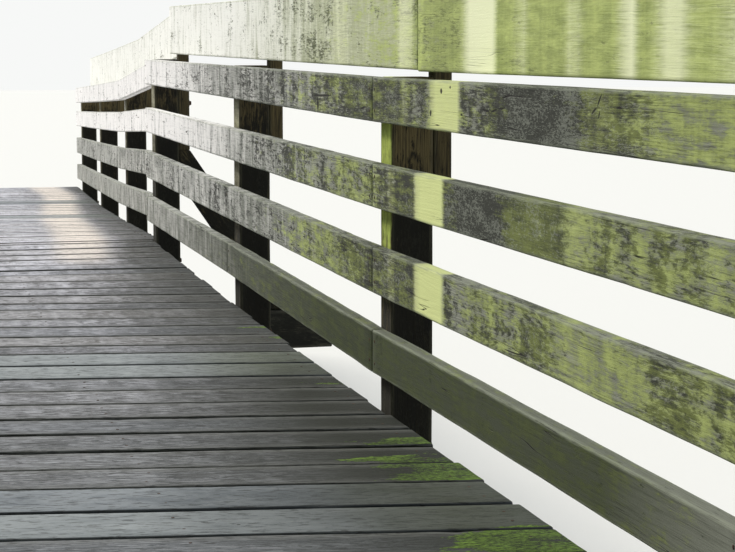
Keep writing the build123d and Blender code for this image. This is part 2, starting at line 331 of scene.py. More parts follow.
def top_board_growth(points, facing):
    """The top board is bright with algae near the middle and pales towards the crest in silver grey and
    painted sunlight; strips of painted sunlight lie across it.
    """
    y = folded(points[:, 1])
    places = [-1.0, 0.2, 0.9, 1.2, 1.9, 2.5, 4.0]
    return {
        "mildew": np.interp(y, places, [0.05, 0.18, 0.36, 0.42, 0.16, 0.36, 0.15]),
        "algae": np.interp(y, [-1.0, 0.8, 1.5, 2.4, 3.2, 4.4], [0.98, 0.90, 0.54, 0.36, 0.15, 0.0]),
        "sunlight_patch": strips(y, SUNLIT_TOP_BOARD_STRIPS).clip(0, 1),
        "silver_and_sunlit": np.interp(y, [1.2, 1.9, 2.6, 3.2, 4.2], [0.0, 0.3, 0.45, 0.75, 1.0]),
        "damp_and_shade": 0.35 * soft_strip(y, 0.98, 0.14, 0.12),
    }


def post_growth(points, facing):
    """Posts are black on the faces that look along the bridge, from mildew and from painted shade, and green
    where they face the deck.
    """
    y = folded(points[:, 1])
    to_deck = ramp(-np.sign(points[:, 0]) * facing[:, 0], 0.5, 0.8)
    height = height_above_deck(points)
    raised = ramp(height, *RAISED_POST)
    dry = ramp(height, *DRY_POST) * (1 - to_deck)
    return {
        "mildew": 1.0 - to_deck * (0.15 + 0.60 * raised) - np.interp(y, [1.5, 3.0], [0.80, 0.50]) * dry,
        "algae": 0.05 + to_deck * 0.85 * raised * np.interp(y, [1.5, 3.5, 5.0], [1.0, 0.35, 0.2]),
        "sunlight_patch": 0.0 * y,
        "silver_and_sunlit": to_deck * raised * np.interp(y, [1.5, 3.5], [0.0, 0.6]),
        # Painted shade on the faces turned away from the deck, less on their upper, dry part
        "damp_and_shade": (1 - to_deck) * (1 - np.interp(y, [1.5, 3.0], [1.0, 0.75]) * dry),
    }


def plank_growth(points, facing):
    """Planks are grey in the walked middle, and dark, damp and green beside both railings, where the
    darkness is partly painted shade.

    Down an approach, a strip of painted sunlight runs along each side.
    """
    y = folded(points[:, 1])
    from_edge = np.interp(abs(points[:, 1]), *DECK_PLAN) - abs(points[:, 0])
    places = [-0.4, 0.0, 0.2, 0.4, 1.3, 1.7, 2.6, 5.3, 7.0]
    # Beside the railings the deck darkens, partly damp and partly painted shade
    damp_and_shade_reach = np.interp(y, places, [0.54, 0.66, 0.68, 0.57, 0.52, 0.42, 0.34, 0.34, 0.30])
    near_edge = ramp(from_edge, *NEAR_EDGE)
    damp_and_shade = ramp(from_edge, damp_and_shade_reach + DAMP_AND_SHADE_EDGE, damp_and_shade_reach - DAMP_AND_SHADE_EDGE)
    damp_and_shade = damp_and_shade + 0.30 * near_edge * np.interp(y, [-0.6, 0.4, 1.9, 2.2], [0.3, 1.0, 1.0, 0.0])
    # Painted sunlight: a pale strip down the far approach, where the damp is taken out
    sunlit_track_middle = np.interp(y, [5.3, 6.1, 7.6, 9.0, 12.2], [0.74, 0.82, 0.93, 1.0, 1.3])
    sunlit_track = soft_strip(abs(points[:, 0]), sunlit_track_middle, 0.15, 0.14)
    sunlit_track = sunlit_track * np.interp(y, [4.8, 5.3, 6.1], [0.0, 0.8, 1.0])
    damp_and_shade = damp_and_shade * (1 - 0.85 * sunlit_track)
    # Silver grey of old wood, rising past 1 towards the far end, partly a painted reflection of glancing
    # light on the far deck
    places = [0.2, 1.0, 1.6, 2.5, 4.0, 5.0, 6.0, 9.0]
    silver_and_sunlit = np.interp(y, places, [0.0, 0.08, 0.25, 0.45, 0.55, 1.0, 1.4, 1.9])
    algae = 0.08 + 0.40 * near_edge * np.interp(y, [2.5, 5.0], [1.0, 0.3])
    # The side faces in the gaps get full mildew and painted shade, so that the gaps read black
    on_side = (abs(facing[:, 0]) > 0.5) | (facing[:, 1] < -0.5)
    return {
        "mildew": np.where(on_side, 1.0, 0.45 + 0.30 * damp_and_shade),
        "algae": np.where(on_side, 0.0, algae),
        "sunlight_patch": np.where(on_side, 0.0, sunlit_track),
        "silver_and_sunlit": np.where(on_side, 0.0, silver_and_sunlit * (1 - 0.45 * damp_and_shade).clip(0, 1)),
        "damp_and_shade": np.where(on_side, 1.7, damp_and_shade),
        "mat": np.where(on_side, 0.0, near_edge * (strips(y, THICK_FILM) + 0.15).clip(0, 1)),
    }


def even_growth(mildew, algae, damp_and_shade):
    """Growth that is the same all over a timber.

    Cleats are newer than the posts and evenly dark. Timbers under the deck are damp all over.
    """
    values = {"mildew": mildew, "algae": algae, "sunlight_patch": 0.0, "silver_and_sunlit": 0.0, "damp_and_shade": damp_and_shade}
    return lambda points, facing: {label: np.full(len(points), value) for label, value in values.items()}


cleat_growth = even_growth(mildew=0.15, algae=0.1, damp_and_shade=0.35)
bearer_growth = even_growth(mildew=0.75, algae=0.25, damp_and_shade=1.0)

deck_solids = [solids_of(node)[0] for node in ("deck_main", "deck_approach_far")]


def slab_lines(corners):
    """How far from the middle the slab's corners lie, with its half width and its top height there."""
    tops = np.column_stack([corners[:, 0], abs(corners[:, 1]), corners[:, 2]])
    tops = tops[tops[:, 0] > 0]
    tops = tops[np.lexsort((-tops[:, 2], tops[:, 0], tops[:, 1]))]
    keep = np.ones(len(tops), bool)
    keep[1:] = (abs(np.diff(tops[:, :2], axis=0)) > 0.001).any(axis=1)
    return tops[keep, 1], tops[keep, 0], tops[keep, 2]


away, half_widths, heights = (np.concatenate(lines) for lines in zip(*[slab_lines(c) for c in deck_solids]))
DECK_LINE = (away, heights)
DECK_PLAN = (away, half_widths)
print("deck heights", heights.round(3))

# %% [markdown]
# ## From timbers to pieces
# A railing has dozens of boards, and each as its own object would only clutter the file. All timbers of
# one node are joined in one mesh. What the finish needs to know about a board travels as point
# attributes: `grain` is the place inside the board in metres, with a different start on each board so
# that no two share a knot, `tone` is one random number a board, and `arris` marks its edges.


# %% Join timbers in one mesh
def new_object(name, data):
    """An object in the scene with the given mesh, camera or lamp."""
    item = bpy.data.objects.new(name, data)
    bpy.context.scene.collection.objects.link(item)
    return item


def join_timbers(name, timbers, growth):
    """One object from a list of (points, quads, caps, grain, facing, arris, tone).

    Faces are counted on from timber to timber, and growth gives the maps of the points.
    """
    starts = np.cumsum([0] + [len(t[0]) for t in timbers])
    points = np.concatenate([t[0] for t in timbers])
    faces = []
    for start, timber in zip(starts, timbers):
        faces += (timber[1] + start).tolist() + [(cap + start).tolist() for cap in timber[2]]
    mesh = bpy.data.meshes.new(name)
    mesh.from_pydata(points.tolist(), [], faces)
    values = {
        "grain": np.concatenate([t[3] for t in timbers]),
        "arris": np.concatenate([t[5] for t in timbers]),
        "tone": np.concatenate([np.full(len(t[0]), t[6]) for t in timbers]),
        **growth(points, np.concatenate([t[4] for t in timbers])),
    }
    for label, value in values.items():
        kind, key = ("FLOAT_VECTOR", "vector") if value.ndim == 2 else ("FLOAT", "value")
        mesh.attributes.new(label, kind, "POINT").data.foreach_set(key, value.astype(np.float32).ravel())
    mesh.shade_smooth()
    mesh.update()
    return new_object(name, mesh)


GRAIN_STARTS = 40.0


def cut_timber(rng, corners, tone=None, **shape):
    """A worn timber with its own grain start, and its own tone unless one is given."""
    points, quads, caps, grain, facing, arris = worn_timber(rng, corners, **shape)
    grain[:, 0] += rng.uniform(0, GRAIN_STARTS)
    drawn = rng.uniform()
    return points, quads, caps, grain, facing, arris, drawn if tone is None else tone


def settle(piece, slot, *nodes):
    """The piece rides on the bridge and stands for its nodes, which are hidden. The slot is not used."""
    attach(piece, "root")
    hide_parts(*nodes)
    return piece


# %% [markdown]
# ## Rails, boards, posts and bearers
# Rails and top boards run along the bridge, posts and piles stand up, and crossheads and sills lie
# across, so each family only needs its own directions, spacing of stations and amount of wear. Thin
# boards wear more at their edges than posts. Stations lie closest on the rails, because there the
# wavering of the top edge shows against the light. DECK_FACE says which side of a railing's timber, the
# low or the high one across the bridge, looks at the deck.

# %% Families of straight timbers
SIDES = ("right", "left")
DECK_FACE = {"right": 0, "left": 1}
PARTS = ("main", "far", "near")
ENDS = ("far", "near")
RAILING_SIDES = [f"{part}_{side}" for part in PARTS for side in SIDES]
LENGTHWISE = (ALONG_BRIDGE, UP, ACROSS_BRIDGE)
CROSSWISE = (ACROSS_BRIDGE, ALONG_BRIDGE, UP)
UPRIGHT = (UP, ACROSS_BRIDGE, ALONG_BRIDGE)

WEAR_VALUES = ("station_gap", "width_steps", "depth_steps", "edge_radius", "groove", "chip")
BOARD_WEAR = dict(zip(WEAR_VALUES, (0.045, 7, 2, 0.005, 0.0016, 0.006)))
WIDE_BOARD_WEAR = dict(zip(WEAR_VALUES, (0.06, 9, 2, 0.004, 0.0016, 0.004)))
POST_WEAR = dict(zip(WEAR_VALUES, (0.05, 5, 5, 0.006, 0.002, 0.006)))
BEARER_WEAR = dict(zip(WEAR_VALUES, (0.08, 5, 5, 0.007, 0.003, 0.008)))
PLANK_WEAR = dict(zip(WEAR_VALUES, (0.055, 2, 8, 0.006, 0.0026, 0.024)))

FAMILIES = {
    "rails": ("rail_boards", RAILING_SIDES, LENGTHWISE, BOARD_WEAR, rail_growth),
    "top_boards": ("top_boards", RAILING_SIDES, LENGTHWISE, WIDE_BOARD_WEAR, top_board_growth),
    "posts": ("posts", RAILING_SIDES, UPRIGHT, POST_WEAR, post_growth),
    "cleats": ("posts", RAILING_SIDES, UPRIGHT, POST_WEAR, cleat_growth),
    "crosshead": ("framing", ENDS, CROSSWISE, BEARER_WEAR, bearer_growth),
    "end_sill": ("framing", ENDS, CROSSWISE, BEARER_WEAR, bearer_growth),
    "trestle_piles": ("framing", ENDS, UPRIGHT, BEARER_WEAR, bearer_growth),
    "end_piles": ("framing", ENDS, UPRIGHT, BEARER_WEAR, bearer_growth),
}

made = {family: [] for family in FAMILIES}
for number, (family, (slot, places, directions, wear, growth)) in enumerate(FAMILIES.items()):
    rng = np.random.default_rng(100 + number)
    for place in places:
        node = f"{family}_{place}"
        timbers = [cut_timber(rng, sorted_corners(c, *directions), **wear) for c in solids_of(node)]
        made[family].append(settle(join_timbers(f"worn_{node}", timbers, growth), slot, node))
    print(family, sum(len(p.data.polygons) for p in made[family]), "faces")

# %% [markdown]
# ## Deck planks
# The frame holds each part of the deck as one slab. The real deck is some hundred planks with open
# gaps, none quite as wide as the next, because old planks were replaced one by one. They are laid from
# the joint at a crest, from a run of plank widths, and the last four share what is left over. They
# don't lie quite square to the railings: each joint is askew, less and less so towards the ends of a
# part, which makes the planks there a little tapered. Heights and outline come from the slab. A few
# gaps are wider than the others.
# Each plank has its own small drop and stops a little short of the edge, and a few are newer.

# %% Lay the planks
PLANK_WIDTHS = np.array([218, 218, 201, 201, 165, 165, 217, 209, 209, 220, 172, 254, 222, 245,
                         225, 185, 253, 261, 226, 226, 235, 233, 233, 223, 223, 242, 255]) / 1000
NEWER_TONES = {16: 2.8, 17: 2.9, 25: 2.0, 26: 2.6}
PLANK_GAP = 0.016
WIDE_GAPS = {10: 0.010, 18: 0.010, 21: 0.022, 22: 0.008, 23: 0.004, 26: 0.004}
PLANK_THICK = 0.05
PLANK_DROP = 0.0025
END_SHORTFALL = 0.012
ASKEW = 0.167
ASKEW_RUN = 2.5
WIDTH_JUMP = 0.04


def plank_joints(start, stop, first_joint=None):
    """Places of the joints from start to stop: the widths are laid in turn and added up.

    The last four planks share what is left over. A first joint of its own makes a narrow plank
    beside a post.
    """
    joints = [start] if first_joint is None else [start, first_joint]
    total = abs(stop - joints[-1])
    run = np.tile(PLANK_WIDTHS, 3)
    count = int(np.argmin(abs(np.cumsum(run) - total))) + 1
    widths = run[:count].copy()
    widths[-4:] += (total - widths.sum()) / 4
    return np.concatenate([joints[:-1], joints[-1] + np.sign(stop - start) * np.cumsum([0, *widths])])


def askew(joints):
    """How far each joint runs along the bridge for a metre across it: 0 at both ends of a part."""
    from_end = np.minimum(abs(joints - joints[0]), abs(joints - joints[-1]))
    eased = (from_end / ASKEW_RUN).clip(0, 1)
    return ASKEW * eased**2 * (3 - 2 * eased)


def plank_corners(rng, joints, slopes, widened, plan):
    """Corners of one plank by end, width side and depth side.

    The plank lies between two joints, less its share of the gaps and half of what they are widened by.
    Its top lies on the slab's top, less its drop, and its ends follow the slab's edge, less a random
    shortfall.
    """
    away, half_widths, heights = plan
    inwards = (PLANK_GAP * rng.uniform(0.1, 0.9, 2) + np.array(widened) / 2) * [1, -1]
    reach = np.interp(abs(joints).max(), away, half_widths) - END_SHORTFALL * rng.uniform(size=2) ** 2
    reach = np.minimum(reach, np.interp(abs(joints), away, half_widths).min())
    ends = np.array([-reach[0], reach[1]])
    along = joints + inwards - ends[:, None] * slopes
    top = np.interp(abs(along), away, heights) - PLANK_DROP * rng.uniform()
    corners = np.empty((2, 2, 2, 3))
    corners[..., 0] = ends[:, None, None]
    corners[..., 1] = along[..., None]
    corners[..., 2] = top[..., None] + np.array([-PLANK_THICK, 0.0])
    return corners


DECK_RUNS = {"deck_main": 1, "deck_approach_far": 1, "deck_approach_near": -1}
rng = np.random.default_rng(7)
planks = []
plank_places = {}
for node, end in DECK_RUNS.items():
    plan = slab_lines(solids_of(node)[0])
    if node == "deck_main":
        joints = plank_joints(plan[0].max(), -plan[0].max())
    else:
        step = plan[0][np.argmax(np.diff(plan[1]) > WIDTH_JUMP)]
        joints = plank_joints(end * plan[0].min(), end * plan[0].max(), end * step)
    slopes = askew(joints)
    timbers = []
    plank_places[node] = []
    for number in range(len(joints) - 1):
        pair = np.array([number, number + 1])[np.argsort(joints[number:number + 2])]
        widened = [WIDE_GAPS.get(joint % len(PLANK_WIDTHS), 0.0) for joint in pair.tolist()]
        corners = plank_corners(rng, joints[pair], slopes[pair], widened, plan)
        plank_places[node].append(corners)
        tone = NEWER_TONES.get(number % len(PLANK_WIDTHS))
        timbers.append(cut_timber(rng, corners, tone, **PLANK_WEAR))
    piece = join_timbers(node.replace("deck", "planks"), timbers, plank_growth)
    planks.append(settle(piece, "deck_planks", node))
    print(node, len(timbers), "planks", len(planks[-1].data.polygons), "faces")

# %% [markdown]
# ## Wiring nodes
# A finish needs some forty nodes. Written out one by one they hide what the finish does, so a small
# helper adds a node, gives its sockets numbers or other nodes' outputs, and hands back the output.


# %% Node helpers
class Wiring:
    """Adds nodes to one tree. A value is a number, a colour or another node's output."""

    def __init__(self, tree):
        self.tree = tree

    def add(self, kind, values, **settings):
        node = self.tree.nodes.new(kind)
        for name, setting in settings.items():
            setattr(node, name, setting)
        for socket, value in dict(values).items():
            self.give(node.inputs[socket], value)
        return node

    def give(self, socket, value):
        if isinstance(value, bpy.types.NodeSocket):
            self.tree.links.new(value, socket)
        else:
            socket.default_value = value

    def math(self, operation, *values):
        return self.add("ShaderNodeMath", enumerate(values), operation=operation).outputs[0]

    def vector(self, operation, *values):
        return self.add("ShaderNodeVectorMath", enumerate(values), operation=operation).outputs[0]

    def times(self, *values):
        """All values multiplied."""
        total = values[0]
        for value in values[1:]:
            total = self.math("MULTIPLY", total, value)
        return total

    def capped(self, value, limit):
        """The value, or the limit where that is lower."""
        return self.math("MINIMUM", value, limit)

    def rest(self, value):
        """What is left of 1."""
        return self.math("SUBTRACT", 1.0, value)

    def measure(self, operation, *vectors):
        """A number from vectors, such as a length."""
        return self.add("ShaderNodeVectorMath", enumerate(vectors), operation=operation).outputs["Value"]

    def attribute(self, label, output):
        return self.add("ShaderNodeAttribute", {}, attribute_name=label).outputs[output]

    def object_place(self):
        return self.add("ShaderNodeTexCoord", {}).outputs["Object"]

    def stretch(self, vector, *factors):
        """Larger factors give a finer pattern in that direction."""
        return self.vector("MULTIPLY", vector, factors)

    def rise(self, value, low, high):
        """0 up to low, 1 from high on, and a smooth step between them."""
        span = {"Value": value, "From Min": low, "From Max": high}
        return self.add("ShaderNodeMapRange", span, interpolation_type="SMOOTHSTEP").outputs[0]

    def noise(self, vector, detail=3.0, roughness=0.6, output="Fac"):
        spread = {"Vector": vector, "Scale": 1.0, "Detail": detail, "Roughness": roughness}
        return self.add("ShaderNodeTexNoise", spread).outputs[output]

    def sum(self, *weighted):
        """Adds values, each times its weight."""
        total = 0.0
        for value, weight in weighted:
            total = self.math("MULTIPLY_ADD", value, weight, total)
        return total

    def mix(self, share, first, second):
        """First colour at share 0, second at share 1."""
        return self.add("ShaderNodeMix", {0: share, 6: first, 7: second}, data_type="RGBA").outputs[2]

    def group(self, tree, **values):
        node = self.add("ShaderNodeGroup", {}, node_tree=tree)
        for name, value in values.items():
            self.give(node.inputs[name.replace("_", " ").capitalize()], value)
        return node.outputs


def new_group(name, takes, gives):
    """An empty shader group: its wiring, what it takes and what it gives. A default of None is a vector."""
    tree = bpy.data.node_groups.new(name, "ShaderNodeTree")
    for label, default in takes.items():
        kind = "NodeSocketVector" if default is None else "NodeSocketFloat"
        socket = tree.interface.new_socket(label, in_out="INPUT", socket_type=kind)
        if default is not None:
            socket.default_value = default
    for label, kind in gives.items():
        tree.interface.new_socket(label, in_out="OUTPUT", socket_type=f"NodeSocket{kind}")
    entry = tree.nodes.new("NodeGroupInput")
    leave = tree.nodes.new("NodeGroupOutput")
    return Wiring(tree), entry.outputs, leave.inputs


def new_material(name):
    """A material, its wiring and its shader."""
    material = bpy.data.materials.new(name)
    material.use_nodes = True
    return material, Wiring(material.node_tree), material.node_tree.nodes["Principled BSDF"]


def colour(red, green, blue):
    """A screen colour of 0 to 255 as the linear colour that sockets take."""
    screen = np.array([red, green, blue]) / 255
    linear = np.where(screen <= 0.04045, screen / 12.92, ((screen + 0.055) / 1.055) ** 2.4)
    return (*linear, 1.0)


# %% [markdown]
# ## The figure of sawn wood
# A board is cut from a trunk of nested cones, so its figure is the distance from the pith, which sways
# along the trunk. Worked out in three dimensions it also gives true end grain. A branch pushes the
# rings aside and leaves a knot, and drying opens cracks along the grain. The group also gives `flow`,
# coordinates that follow the rings, so that mildew can run with the grain.

# %% Figure group
KNOT_CELLS = (1.6, 5.0, 0.0)
net, takes, gives = new_group(
    "sawn_figure",
    {"Grain": None, "Tone": 0.5, "Ring gap": 0.006, "Knots": 0.3},
    {"Rings": "Float", "Fibre": "Float", "Knot": "Float", "Checks": "Float", "Flow": "Vector"},
)
grain = takes["Grain"]
sway = net.noise(net.stretch(grain, 0.7, 3.0, 3.0), 2.0, output="Color")
sway = net.vector("SUBTRACT", sway, (0.5, 0.5, 0.5))
bent = net.vector("ADD", grain, net.stretch(sway, 0.0, 0.07, 0.07))

shifted = net.math("MULTIPLY", takes["Tone"], 13.0)
shift = net.add("ShaderNodeCombineXYZ", {0: shifted, 1: shifted}).outputs[0]
cells = net.vector("ADD", net.stretch(grain, *KNOT_CELLS), shift)
branch = net.add("ShaderNodeTexVoronoi", {"Vector": cells, "Scale": 1.0})
to_knot = net.vector("SUBTRACT", cells, branch.outputs["Position"])
from_knot = net.measure("LENGTH", net.stretch(to_knot, 0.7 / KNOT_CELLS[0], 1 / KNOT_CELLS[1], 0.0))
chance = net.add("ShaderNodeSeparateXYZ", {0: branch.outputs["Color"]})
is_there = net.math("LESS_THAN", chance.outputs["Y"], takes["Knots"])
knot_radius = net.math("MULTIPLY_ADD", chance.outputs["X"], 0.009, 0.003)
knot = net.rest(net.rise(net.math("SUBTRACT", from_knot, knot_radius), 0.0, 0.003))
knot = net.times(knot, is_there)
spread = net.math("DIVIDE", from_knot, 0.04)
bulge = net.times(net.math("EXPONENT", net.times(spread, spread, -1.0)), 0.03, is_there)

place = net.add("ShaderNodeSeparateXYZ", {0: bent})
pith = net.math("MULTIPLY_ADD", takes["Tone"], 0.10, 0.03)
depth = net.math("ADD", place.outputs["Z"], pith)
section = net.add("ShaderNodeCombineXYZ", {1: place.outputs["Y"], 2: depth}).outputs[0]
from_pith = net.measure("LENGTH", section)
uneven = net.noise(net.stretch(grain, 6.0, 45.0, 45.0), 2.0)
ring_place = net.sum((from_pith, 1.0), (bulge, 1.0), (uneven, 0.004))
turns = net.times(net.math("DIVIDE", ring_place, takes["Ring gap"]), 2 * pi)
rings = net.math("POWER", net.math("MULTIPLY_ADD", net.math("SINE", turns), 0.5, 0.5), 2.0)

fibre = net.noise(net.stretch(bent, 9.0, 340.0, 340.0), 4.0, 0.75)
across = net.math("MULTIPLY_ADD", place.outputs["Y"], 0.4, place.outputs["Z"])
flow = net.add("ShaderNodeCombineXYZ", {0: place.outputs["X"], 1: ring_place, 2: across}).outputs[0]
seam = net.noise(net.stretch(grain, 0.9, 34.0, 34.0), 1.5)
seam = net.math("ABSOLUTE", net.math("SUBTRACT", seam, 0.5))
seam = net.rest(net.rise(seam, 0.002, 0.009))
opened = net.rise(net.noise(net.stretch(grain, 2.6, 11.0, 11.0), 1.0), 0.56, 0.62)
checks = net.times(seam, opened)
for label, value in {"Rings": rings, "Fibre": fibre, "Knot": knot, "Checks": checks, "Flow": flow}.items():
    net.give(gives[label], value)
sawn_figure = net.tree

# %% [markdown]
# ## Growth on the wood
# Mildew eats into the soft rings and reads as black mottling with pale crusts of lichen between. Algae
# lies over it as a film, in runs where water trickles down, and where it stays wet the film thickens to
# a mat. All of them compare noise with an amount, so one group serves a clean board and a filthy one.
# A last group draws one single crack, from one place to another.

# %% Growth and crack groups
net, takes, gives = new_group(
    "black_mottle", {"Grain": None, "Flow": None, "Amount": 0.5}, {"Mask": "Float"}
)
fine = net.noise(net.stretch(takes["Flow"], 22.0, 170.0, 140.0), 5.0, 0.75)
broad = net.noise(net.stretch(takes["Flow"], 4.5, 17.0, 12.0), 3.0)
runs = net.noise(net.stretch(takes["Grain"], 11.0, 1.6, 1.6), 2.0)
level = net.sum((fine, 1.05), (broad, 0.62), (runs, 0.45), (takes["Amount"], 0.45))
net.give(gives["Mask"], net.rise(level, 1.22, 1.38))
black_mottle = net.tree

net, takes, gives = new_group("pale_crust", {"Flow": None, "Amount": 0.5}, {"Mask": "Float"})
spots = net.noise(net.stretch(takes["Flow"], 70.0, 330.0, 260.0), 4.0, 0.8)
groups = net.noise(net.stretch(takes["Flow"], 6.0, 22.0, 20.0), 2.0)
level = net.sum((spots, 0.85), (groups, 0.45), (takes["Amount"], 0.12))
net.give(gives["Mask"], net.rise(level, 0.77, 0.88))
pale_crust = net.tree

net, takes, gives = new_group(
    "algae_film", {"Grain": None, "Fibre": 0.5, "Amount": 0.5}, {"Mask": "Float", "Shade": "Float"}
)
patches = net.noise(net.stretch(takes["Grain"], 8.0, 34.0, 34.0), 6.0, 0.78)
runs = net.noise(net.stretch(takes["Grain"], 14.0, 1.2, 1.2), 3.0)
level = net.sum((patches, 0.90), (runs, 0.20), (takes["Fibre"], 0.25), (takes["Amount"], 0.60))
net.give(gives["Mask"], net.rise(level, 0.92, 1.12))
shade = net.sum((runs, 0.40), (patches, 0.65), (takes["Fibre"], 0.25))
net.give(gives["Shade"], net.rise(shade, 0.48, 0.80))
algae_film = net.tree

net, takes, gives = new_group(
    "green_mat", {"Place": None, "Amount": 0.5}, {"Mask": "Float", "Tuft": "Float"}
)
tuft = net.noise(net.stretch(takes["Place"], 60.0, 110.0, 30.0), 5.0, 0.8)
cover = net.noise(net.stretch(takes["Place"], 6.0, 13.0, 1.0), 4.0, 0.65)
level = net.sum((cover, 1.0), (takes["Amount"], 0.55), (tuft, 0.35))
net.give(gives["Mask"], net.rise(level, 1.06, 1.12))
net.give(gives["Tuft"], net.rise(net.sum((tuft, 1.0), (cover, 0.5)), 0.62, 0.90))
green_mat = net.tree

net, takes, gives = new_group(
    "crack", {"Place": None, "Start": None, "Stop": None, "Width": 0.002}, {"Mask": "Float"}
)
frayed = net.noise(net.stretch(takes["Place"], 90.0, 90.0, 90.0), 2.0, output="Color")
frayed = net.vector("SUBTRACT", frayed, (0.5, 0.5, 0.5))
place = net.vector("ADD", takes["Place"], net.stretch(frayed, 0.004, 0.004, 0.004))
run = net.vector("SUBTRACT", takes["Stop"], takes["Start"])
inside = net.vector("SUBTRACT", place, takes["Start"])
squared = net.math("ADD", net.measure("DOT_PRODUCT", run, run), 0.0000001)
share = net.math("DIVIDE", net.measure("DOT_PRODUCT", inside, run), squared)
share = net.capped(net.math("MAXIMUM", share, 0.0), 1.0)
on_run = net.add("ShaderNodeVectorMath", {"Vector": run, "Scale": share}, operation="SCALE").outputs[0]
away = net.measure("LENGTH", net.vector("SUBTRACT", inside, on_run))
off_middle = net.math("MULTIPLY_ADD", share, 2.0, -1.0)
tapered = net.math("SUBTRACT", 1.1, net.times(off_middle, off_middle))
thinned = net.times(takes["Width"], tapered)
net.give(gives["Mask"], net.rest(net.rise(net.math("DIVIDE", away, thinned), 0.45, 0.6)))
crack = net.tree
print("groups", [tree.name for tree in bpy.data.node_groups])

# %% [markdown]
# ## The finish of a weathered timber
# One recipe makes all the timber finishes, each with its own colours: bare wood from its rings and
# fibres, black mottle, pale crust, the film of algae, pale worn edges and dark cracks, laid over each
# other in the order in which they grow. Bump comes from the same masks, so that relief and colour
# agree.
# Among them lie pale strips of painted sunlight and a dark colour for damp and painted shade.


# %% Timber finish
EVEN_BOARD = {"arris": 0.0, "tone": 0.4, "mildew": 0.8, "algae": 0.2, "sunlight_patch": 0.0, "silver_and_sunlit": 0.0,
              "damp_and_shade": 1.0, "mat": 0.0}
CRACK_COLOUR = (0.006, 0.005, 0.004, 1.0)


def board_inputs(net, along=None):
    """What the finish reads of a board: its point attributes.

    A timber without them is even all over, and its grain is the object's own coordinates, turned so
    that X runs along the grain.
    """
    if along is None:
        values = {label: net.attribute(label, "Fac") for label in EVEN_BOARD}
        return {**values, "grain": net.attribute("grain", "Vector")}
    turned = net.add("ShaderNodeMapping", {"Vector": net.object_place(), "Rotation": along}).outputs[0]
    return {**EVEN_BOARD, "grain": turned}


def bare_wood(net, board, figure, streak, wood, silver_and_sunlit, ring_depth, streaky):
    """Wood from its rings and fibres, then the silver of old wood with dark runs of rain, lighter where the
    silver map is high, which is partly painted sunlight.
    """
    lightness = net.sum((figure["Rings"], -ring_depth), (figure["Fibre"], 1.4), (board["tone"], 0.3),
                        (streak, streaky))
    paint = net.mix(net.rise(lightness, 0.35, 1.05), *wood)
    runs = net.noise(net.stretch(board["grain"], 12.0, 2.5, 2.5), 5.0, 0.75)
    silver_and_sunlit_level = net.sum((runs, 1.2), (figure["Fibre"], 0.4), (streak, streaky), (board["silver_and_sunlit"], 0.35))
    return net.mix(board["silver_and_sunlit"], paint, net.mix(net.rise(silver_and_sunlit_level, 0.82, 1.16), *silver_and_sunlit))


def replaced_planks(net, board, figure, streak, paint, shades, soot, crust, damp_shade):
    """Planks with a tone of 2 and more are newer: smoother and cooler, in pale and dark blotches.

    Shades are the colours at tones 2 and 3 and where algae grow. Gives the paint and which planks they are.
    """
    smooth = net.mix(net.math("SUBTRACT", board["tone"], 2.0), shades[0], shades[1])
    smooth = net.mix(net.capped(net.times(board["algae"], 1.7), 0.75), smooth, shades[2])
    blotches = net.noise(net.stretch(board["grain"], 5.0, 16.0, 16.0), 5.0, 0.75)
    lighter = net.rise(net.sum((blotches, 1.3), (figure["Fibre"], 0.5), (streak, 0.8)), 0.62, 1.05)
    smooth = net.mix(lighter, net.mix(0.30, smooth, soot), net.mix(0.40, smooth, crust))
    smooth = net.mix(net.capped(net.times(board["damp_and_shade"], 0.68), 0.80), smooth, damp_shade)
    is_newer = net.rise(board["tone"], 1.2, 1.8)
    return net.mix(net.times(is_newer, 0.80), paint, smooth), is_newer


